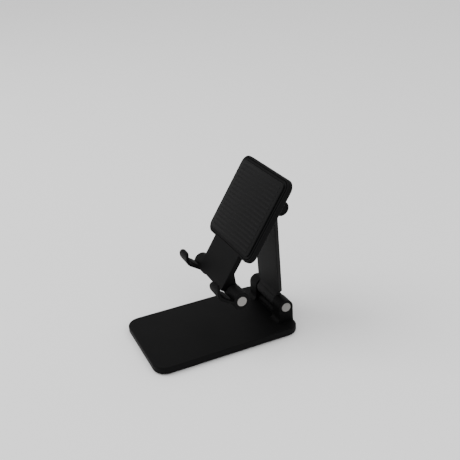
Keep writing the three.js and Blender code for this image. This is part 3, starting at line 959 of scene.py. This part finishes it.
@dataclass
class BaseAssembly:
    """The weighted base with its ears, cover and foot pad."""

    places: Places
    palette: Palette
    caps: HingeCaps = field(default_factory=HingeCaps)
    shell_edge: float = 0.3 * MM
    pad_corner: float = 6.6 * MM
    pad_rim: float = 2.4 * MM
    pad_recess: float = 0.3 * MM
    pad_edge: float = 0.15 * MM
    dots: Dots = Dots(
        across=54 * MM, along=93 * MM, columns=14, rows=24, radius=1.25 * MM, height=0.3 * MM,
    )

    def build(self) -> None:
        """Makes and dresses every piece of the base."""
        shell = Workshop.rounded_copy("base_shell", "base_shell_moulding", self.shell_edge)
        Workshop.hand_over(shell, Body.BASE, self.palette.shell, "black_plastic", ["base_shell"])
        self.foot_pad()
        for side in Side:
            self.caps.build(f"base_hinge_cap_{side.word}", self.places.base_axis, side, Body.BASE)
            Workshop.dress(f"base_friction_washer_{side.word}", self.palette.acetal)
        Workshop.dress("base_cover", self.palette.shell)
        Workshop.dress("base_ballast_plate", self.palette.ballast)
        for name in ["hinge_pin", "hinge_spring_washer", "hinge_nut"]:
            Workshop.dress(f"base_{name}", self.palette.steel)
        for number in SCREWS:
            Workshop.dress(f"base_cover_screw_{number}", self.palette.steel)

    def foot_pad(self) -> None:
        """Makes the foot pad: a flat rim round a field of dots, all level with the table."""
        low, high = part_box("base_foot_pad")
        rim, edge, recess = self.pad_rim, self.pad_edge, self.pad_recess
        steps = [
            (rim + edge, recess), (rim, recess), (rim - edge, edge), (rim - 2 * edge, 0),
            (edge, 0), (0, edge), (0, high.z - edge), (edge, high.z),
        ]
        rings = [
            Workshop.outline(low, high, self.pad_corner, inset, level) for inset, level in steps
        ]
        made = Workshop.object_of("foot_pad_moulding", Workshop.skin(rings))
        self.dots.add_to(made, self.pad_recess, self.palette.rubber)
        Workshop.smooth(made)
        Workshop.hand_over(made, Body.BASE, self.palette.rubber, "silicone", ["base_foot_pad"])


@dataclass
class ArmAssembly:
    """The flat arm between the two hinges."""

    palette: Palette
    edge: float = 0.3 * MM

    def build(self) -> None:
        """Makes the arm."""
        made = Workshop.rounded_copy("arm", "arm_casting", self.edge)
        Workshop.hand_over(made, Body.ARM, self.palette.arm, "arm_finish", ["arm"])


@dataclass
class RibbedPad:
    """A silicone pad with rounded edges and raised ribs."""

    corner: float
    edge: float
    relief: float
    margin: float
    pitch: float
    rib: float
    round_share: float = 0.3

    def build(self, name: str, node: str, places: Places, body: Body,
              finish: bpy.types.Material) -> None:
        """Makes the pad in the place of its node.

        Args:
            name: The piece's name.
            node: The frame node that it stands for.
            places: The stand's places.
            body: The body that it rides on.
            finish: Its material.
        """
        low, high = places.in_holder(node)
        if high.z - low.z < high.y - low.y:
            turn = Matrix.Identity(4)
        else:
            turn = Matrix.Rotation(math.radians(90), 4, "X")
        corners = [turn.inverted() @ corner for corner in (low, high)]
        low = Vector([min(corner[i] for corner in corners) for i in range(3)])
        high = Vector([max(corner[i] for corner in corners) for i in range(3)])
        rest, lift = (low.z, high.z) if turn == Matrix.Identity(4) else (high.z, low.z)
        sign = 1 if lift > rest else -1
        top = lift - sign * self.relief
        round_in = self.round_share * self.edge
        steps = [
            (0, rest), (0, top - sign * self.edge), (round_in, top - sign * round_in), (self.edge, top),
        ]
        rings = [Workshop.outline(low, high, self.corner, inset, level) for inset, level in steps]
        made = Workshop.object_of(name, Workshop.skin(rings))
        room = high.y - low.y - 2 * self.margin
        count = int(room / self.pitch) + 1
        ribs = Ribs(high.x - low.x - 2 * self.margin, self.pitch, count, self.rib, self.relief)
        ribs.add_to(made, Vector(((low.x + high.x) / 2, (low.y + high.y) / 2, top)), finish)
        Workshop.place(made, places.holder_matrix() @ turn)
        Workshop.smooth(made)
        Workshop.hand_over(made, body, finish, "silicone", [node])


@dataclass
class HolderAssembly:
    """The plate that the phone leans on, with its neck and lugs."""

    places: Places
    palette: Palette
    shell_edge: float = 0.25 * MM
    front_edge: float = 0.2 * MM
    pad: RibbedPad = field(
        default_factory=lambda: RibbedPad(
            corner=3 * MM, edge=0.3 * MM, relief=0.25 * MM, margin=3.2 * MM, pitch=3.2 * MM,
            rib=1.5 * MM,
        )
    )

    def build(self) -> None:
        """Makes and dresses every piece of the holder."""
        shell = Workshop.rounded_copy("holder_back", "holder_back_moulding", self.shell_edge)
        Workshop.hand_over(shell, Body.HOLDER, self.palette.shell, "black_plastic", ["holder_back"])
        front = Workshop.rounded_copy("holder_front", "holder_front_moulding", self.front_edge)
        Workshop.hand_over(front, Body.HOLDER, self.palette.shell, "black_plastic", ["holder_front"])
        rubber = self.palette.rubber
        self.pad.build("holder_pad_moulding", "holder_pad", self.places, Body.HOLDER, rubber)
        caps = HingeCaps(slot="black_plastic", moulding=self.palette.shell)
        for side in Side:
            caps.build(f"holder_hinge_cap_{side.word}", self.places.holder_axis, side, Body.HOLDER)
            Workshop.dress(f"holder_friction_washer_{side.word}", self.palette.acetal)
        for name in ["hinge_pin", "hinge_spring_washer", "hinge_nut"]:
            Workshop.dress(f"holder_{name}", self.palette.steel)
        for number in SCREWS:
            Workshop.dress(f"holder_screw_{number}", self.palette.steel)


@dataclass
class HookAssembly:
    """One folding hook of the lip."""

    side: Side
    places: Places
    palette: Palette
    caps: HingeCaps = field(default_factory=HingeCaps)
    pin: HeadedPin = field(default_factory=HeadedPin)
    edge: float = 0.45 * MM
    pad: RibbedPad = field(
        default_factory=lambda: RibbedPad(
            corner=2 * MM, edge=0.25 * MM, relief=0.2 * MM, margin=1.6 * MM, pitch=2.0 * MM,
            rib=1.0 * MM,
        )
    )

    def build(self) -> None:
        """Makes and dresses every piece of the hook."""
        word = self.side.word
        body = Body[f"HOOK_{self.side.name}"]
        made = Workshop.rounded_copy(f"hook_{word}", f"hook_{word}_moulding", self.edge)
        Workshop.hand_over(made, body, self.palette.shell, "black_plastic", [f"hook_{word}"])
        pad = f"hook_pad_{word}"
        self.pad.build(f"{pad}_moulding", pad, self.places, body, self.palette.rubber)
        self.caps.build(f"hook_cap_{word}", self.places.lip_axis, self.side, body)
        self.pin.build(f"hook_pin_{word}", self.places.lip_axis, self.side, body)
        Workshop.dress(f"hook_friction_washer_{word}", self.palette.acetal)
        Workshop.dress(f"hook_spring_washer_{word}", self.palette.steel)
        Workshop.dress(f"hook_nut_{word}", self.palette.steel)


# ---- Studio -------------------------------------------------------------------------------------


@dataclass
class Studio:
    """Camera, floor and soft light."""

    azimuth: float = math.radians(66.40)
    elevation: float = math.radians(25.60)
    roll: float = math.radians(-3.36)
    camera_place: Vector = field(default_factory=lambda: Vector((0.40794, -0.15899, 0.2910)))
    lens: float = 55.02
    film: float = 36
    nearest: float = 0.01
    floor_size: float = 6.0
    floor_grey: float = 0.94
    floor_roughness: float = 0.9
    floor_specular: float = 0.1
    sky: float = 1.0
    key_place: tuple[float, float, float] = (-0.5, -0.9, 1.3)
    key_size: float = 1.0
    key_power: float = 14
    fill_place: tuple[float, float, float] = (1.1, 0.3, 0.9)
    fill_size: float = 0.9
    fill_power: float = 5

    def build(self) -> None:
        """Makes the camera, the floor and the lights."""
        self.camera()
        self.floor()
        self.world()
        self.lamp("key", Vector(self.key_place), self.key_size, self.key_power)
        self.lamp("fill", Vector(self.fill_place), self.fill_size, self.fill_power)

    def camera(self) -> None:
        """Aims the camera by its azimuth, elevation and roll."""
        toward = Vector((
            -math.sin(self.azimuth) * math.cos(self.elevation),
            math.cos(self.azimuth) * math.cos(self.elevation),
            -math.sin(self.elevation),
        ))
        data = bpy.data.cameras.new("camera")
        data.lens = self.lens
        data.sensor_width = self.film
        data.clip_start = self.nearest
        made = bpy.data.objects.new("camera", data)
        aim = toward.to_track_quat("-Z", "Y").to_matrix()
        roll = Matrix.Rotation(self.roll, 4, "Z")
        made.matrix_world = Matrix.Translation(self.camera_place) @ aim.to_4x4() @ roll
        bpy.context.scene.collection.objects.link(made)
        bpy.context.scene.camera = made

    def floor(self) -> None:
        """Makes a plain pale floor."""
        shape = bmesh.new()
        bmesh.ops.create_grid(shape, x_segments=1, y_segments=1, size=self.floor_size / 2)
        made = Workshop.object_of("floor", shape)
        grey = self.floor_grey
        made.data.materials.append(Graph("floor_paper").finish(
            Base_Color=(grey, grey, grey, 1),
            Roughness=self.floor_roughness,
            Specular_IOR_Level=self.floor_specular,
        ))
        made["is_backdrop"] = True

    def world(self) -> None:
        """Lights everything evenly from all round."""
        world = bpy.data.worlds.new("studio")
        world.use_nodes = True
        background = world.node_tree.nodes["Background"]
        background.inputs["Color"].default_value = (1, 1, 1, 1)
        background.inputs["Strength"].default_value = self.sky
        bpy.context.scene.world = world

    def lamp(self, name: str, place: Vector, size: float, power: float) -> None:
        """Adds a square soft light that faces the stand.

        Args:
            name: The light's name.
            place: Where it stands.
            size: Its side, in metres.
            power: Its power, in watts.
        """
        data = bpy.data.lights.new(name, "AREA")
        data.size = size
        data.energy = power
        made = bpy.data.objects.new(name, data)
        made.location = place
        made.rotation_euler = (-place).to_track_quat("-Z", "Y").to_euler()
        bpy.context.scene.collection.objects.link(made)


def corners() -> list[list[float]]:
    """The shown object's box as plain lists."""
    low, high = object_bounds()
    return [list(low), list(high)]


def main() -> None:
    """Builds the studio and the stand's sub-assemblies in order."""
    logging.basicConfig(level=logging.INFO, format="%(name)s: %(message)s")
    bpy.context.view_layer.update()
    places = Places.read()
    palette = Palette.mixed()
    Studio().build()
    BaseAssembly(places, palette).build()
    ArmAssembly(palette).build()
    HolderAssembly(places, palette).build()
    for side in Side:
        HookAssembly(side, places, palette).build()


if __name__ == "__main__":
    main()
